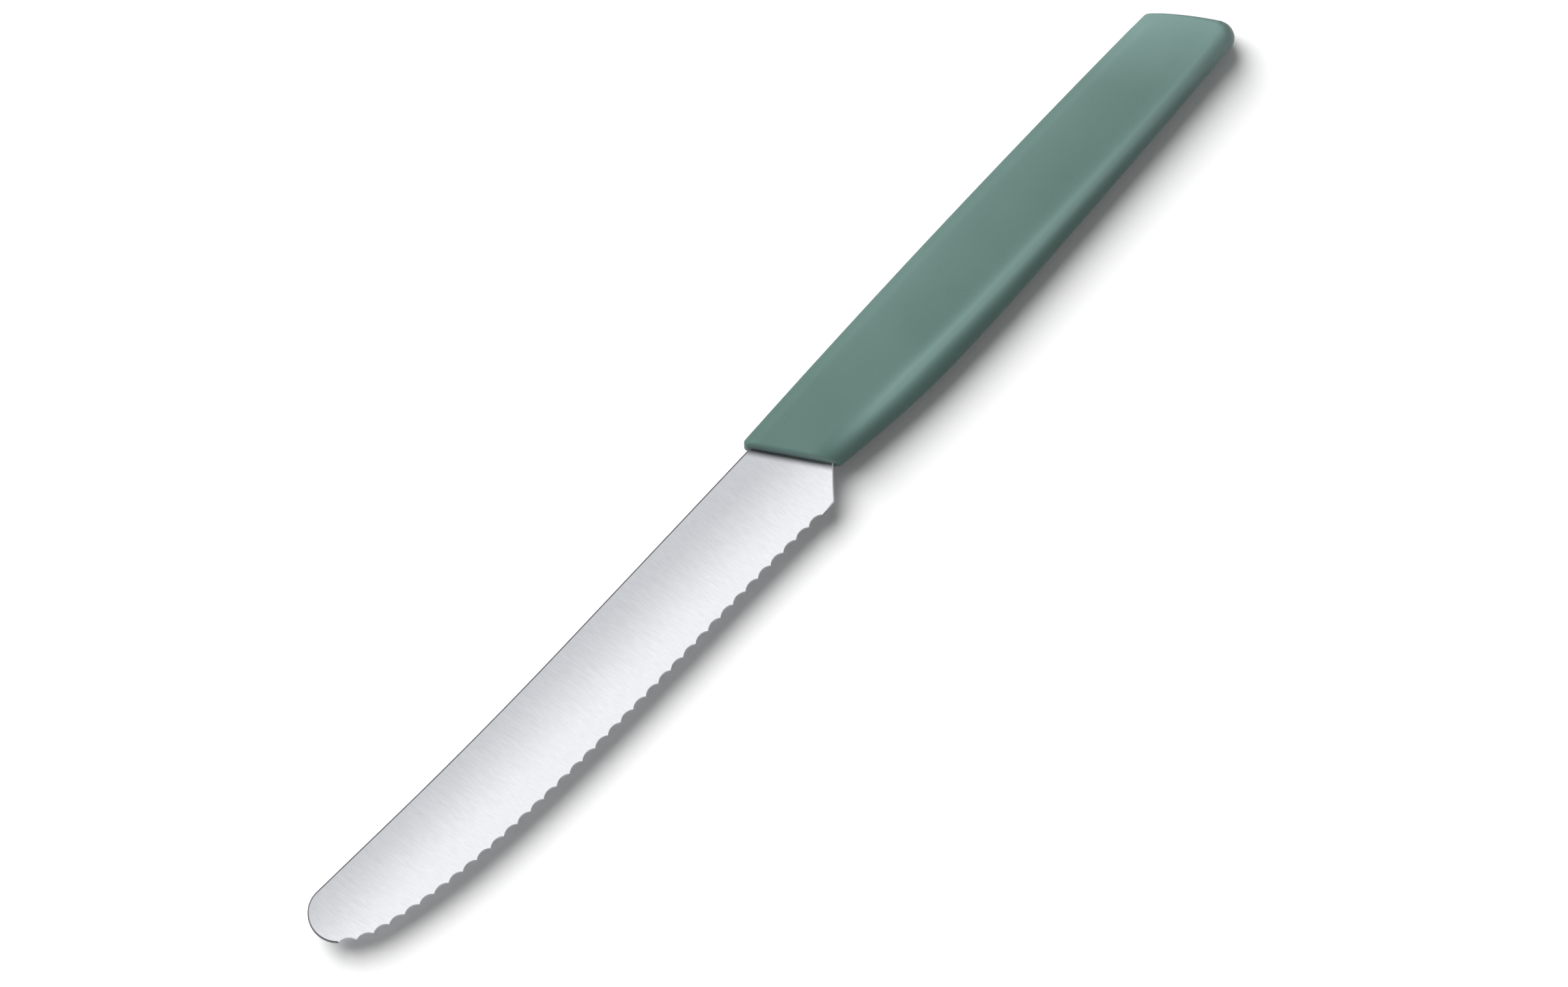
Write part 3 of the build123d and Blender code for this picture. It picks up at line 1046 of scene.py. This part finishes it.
class KNIFE_OT_handle(bpy.types.Operator):
    """Make the moulded handle, with flat faces, a flat back and a full-round belly"""

    bl_idname = "knife.handle"
    bl_label = "Handle"

    def execute(self, context):
        shape = HandleShape()
        sizes = shape.sizes
        at = shape.at
        round_steps, body_steps, cap_steps = 10, 100, 4
        rings = [shape.end_ring(False, 1 - i / round_steps) for i in range(round_steps + 1)]
        butt_reach, front_reach = 2.2, 1.6
        butt_x = at.butt_corner.x + butt_reach * sizes.heel_round
        front_x = at.front_corner.x - front_reach * sizes.front_round
        for i in range(body_steps + 1):
            u = (1 - cos(pi * i / body_steps)) / 2
            slant = sizes.butt_slant + (sizes.front_slant - sizes.butt_slant) * u
            rings.append([shape.point(butt_x + (front_x - butt_x) * u, slant, row) for row in shape.around])
        rings += [shape.end_ring(True, i / round_steps) for i in range(round_steps + 1)]

        mesh = bmesh.new()
        crease_layer = mesh.verts.layers.float.new("crease")
        back_layer = mesh.verts.layers.float.new("back")
        made = [[mesh.verts.new(p) for p in ring] for ring in rings]
        count = len(shape.around)
        for ring in made:
            for vert, row in zip(ring, shape.around):
                # Each vertex keeps its painted highlight masks: the crease's and the back's
                vert[crease_layer], vert[back_layer] = shape.painted_sheen(row, vert.co)
        for before, after in zip(made, made[1:]):
            band(mesh, before, after)
        for front, ring in ((False, made[0]), (True, made[-1])):
            centre = sum((vert.co for vert in ring), Vector()) / count
            last = ring
            for step in range(1, cap_steps):
                nearer = [vert.co.lerp(centre, step / cap_steps) for vert in ring]
                inner = [mesh.verts.new(shape.on_end(front, spot)) for spot in nearer]
                band(mesh, last, inner)
                last = inner
            pole = mesh.verts.new(shape.on_end(front, centre))
            for i in range(count):
                mesh.faces.new((last[i], last[(i + 1) % count], pole))
        bmesh.ops.recalc_face_normals(mesh, faces=mesh.faces)
        for face in mesh.faces:
            face.smooth = True
        data = bpy.data.meshes.new("handle_grip")
        mesh.to_mesh(data)
        mesh.free()
        groups = bpy.data.node_groups
        data.materials.append(moulded_plastic(groups["Fine Grain"], groups["Edge Wear"]))
        piece = linked("handle_grip", data)
        check_closed(piece)
        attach(piece, "root")
        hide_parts("handle")
        return {"FINISHED"}


# Stage


def floor_material():
    """Plain white paper. It shows as pure white where no shadow falls."""
    material, tree, shader = new_material("white_paper", Roughness=1.0, Specular_IOR_Level=0.0)
    path = node(tree, "ShaderNodeLightPath")
    seen = math(tree, "MAXIMUM", path.outputs["Is Camera Ray"], path.outputs["Is Glossy Ray"])
    grey, white = (0.45, 0.45, 0.45), (1.0, 1.0, 1.0)
    tree.links.new(blended(tree, seen, grey, white), shader.inputs["Base Color"])
    return material


def make_world(level):
    """An even white surround. The knife reflects it as a studio: white overhead and greyer low down."""
    world = bpy.data.worlds.new("white_surround")
    bpy.context.scene.world = world
    world.use_nodes = True
    tree = world.node_tree
    backdrop = tree.nodes["Background"]
    backdrop.inputs["Color"].default_value = (1, 1, 1, 1)
    path = node(tree, "ShaderNodeLightPath")
    way = node(tree, "ShaderNodeTexCoord")
    split = node(tree, "ShaderNodeSeparateXYZ", {"Vector": way.outputs["Generated"]})
    overhead = mapped(tree, split.outputs["Z"], 0.0, 0.85, 0.2, 1.0, smooth=True)
    mirrored = math(tree, "MAXIMUM", path.outputs["Is Glossy Ray"], path.outputs["Is Transmission Ray"])
    dressed = mapped(tree, mirrored, 0.0, 1.0, level, overhead)
    backdrop_strength = mapped(tree, path.outputs["Is Camera Ray"], 0.0, 1.0, dressed, 1.0)
    tree.links.new(backdrop_strength, backdrop.inputs["Strength"])


def soft_lamp(name, turn, height, width, level, lit):
    """A broad, even lamp that lights some of the objects, and stands in a direction from the knife."""
    lamp = bpy.data.lights.new(name, "SUN")
    lamp.angle = width
    lamp.energy = level
    made = linked(name, lamp)
    towards = Vector((cos(turn) * cos(height), sin(turn) * cos(height), sin(height)))
    made.location = towards
    made.rotation_euler = towards.to_track_quat("Z", "Y").to_euler()
    group = bpy.data.collections.new(name + "_lights")
    for thing in lit:
        group.objects.link(thing)
    made.light_linking.receiver_collection = group


class KNIFE_OT_stage(bpy.types.Operator):
    """Make the white floor, the soft lamps and the camera above the knife"""

    bl_idname = "knife.stage"
    bl_label = "Stage"

    def execute(self, context):
        stage = context.scene.knife_stage
        half = stage.floor_size / 2
        clearance = 0.02 * MM
        floor_z = handle_low.z - clearance
        data = bpy.data.meshes.new("floor")
        corners = [(-half, -half, floor_z), (half, -half, floor_z), (half, half, floor_z), (-half, half, floor_z)]
        data.from_pydata(corners, [], [(0, 1, 2, 3)])
        data.materials.append(floor_material())
        floor = linked("floor", data)
        make_world(stage.world_level)

        knife = [thing for thing in context.scene.objects if thing.type == "MESH" and thing != floor]
        shadow = (stage.shadow_turn, stage.shadow_height, stage.shadow_width, stage.shadow_level)
        soft_lamp("shadow_lamp", *shadow, [floor])
        main = (stage.main_turn, stage.main_height, stage.main_width, stage.main_level)
        soft_lamp("main_lamp", *main, knife)

        lens = bpy.data.cameras.new("camera")
        lens.lens = stage.lens
        camera = linked("camera", lens)
        leaning = Vector((cos(stage.view_turn), sin(stage.view_turn), 0))
        above = leaning * sin(stage.view_tilt) + Vector((0, 0, cos(stage.view_tilt)))
        upwards = -leaning * cos(stage.view_tilt) + Vector((0, 0, sin(stage.view_tilt)))
        right = upwards.cross(above)
        target = Vector((52.89, 5.66, 5.6)) * MM
        distance = stage.view_width * lens.lens / lens.sensor_width
        facing = Matrix((right, upwards, above)).transposed().to_4x4()
        rolled = facing @ Matrix.Rotation(stage.view_roll, 4, "Z")
        camera.matrix_world = Matrix.Translation(target + above * distance) @ rolled
        lens.clip_end = 4 * stage.floor_size
        context.scene.camera = camera
        context.scene.view_settings.view_transform = "Standard"
        return {"FINISHED"}


class KNIFE_PT_panel(bpy.types.Panel):
    """Lists the knife's makers in the sidebar"""

    bl_idname = "KNIFE_PT_panel"
    bl_label = "Tomato Knife"
    bl_space_type = "VIEW_3D"
    bl_region_type = "UI"
    bl_category = "Knife"

    def draw(self, context):
        for operator in OPERATORS:
            self.layout.operator(operator.bl_idname)


OPERATORS = (KNIFE_OT_blade, KNIFE_OT_handle, KNIFE_OT_stage)
CLASSES = (HandleSettings, BladeSettings, StageSettings, *OPERATORS, KNIFE_PT_panel)


def register():
    for cls in CLASSES:
        bpy.utils.register_class(cls)
    bpy.types.Scene.knife_handle = PointerProperty(type=HandleSettings)
    bpy.types.Scene.knife_blade = PointerProperty(type=BladeSettings)
    bpy.types.Scene.knife_stage = PointerProperty(type=StageSettings)


def unregister():
    del bpy.types.Scene.knife_stage
    del bpy.types.Scene.knife_blade
    del bpy.types.Scene.knife_handle
    for cls in reversed(CLASSES):
        bpy.utils.unregister_class(cls)


def main():
    """Makes the whole knife and its stage."""
    register()
    grain_group()
    brush_group()
    edge_sheen_group()
    bpy.ops.knife.blade()
    bpy.ops.knife.handle()
    bpy.ops.knife.stage()
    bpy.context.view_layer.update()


if __name__ == "__main__":
    main()
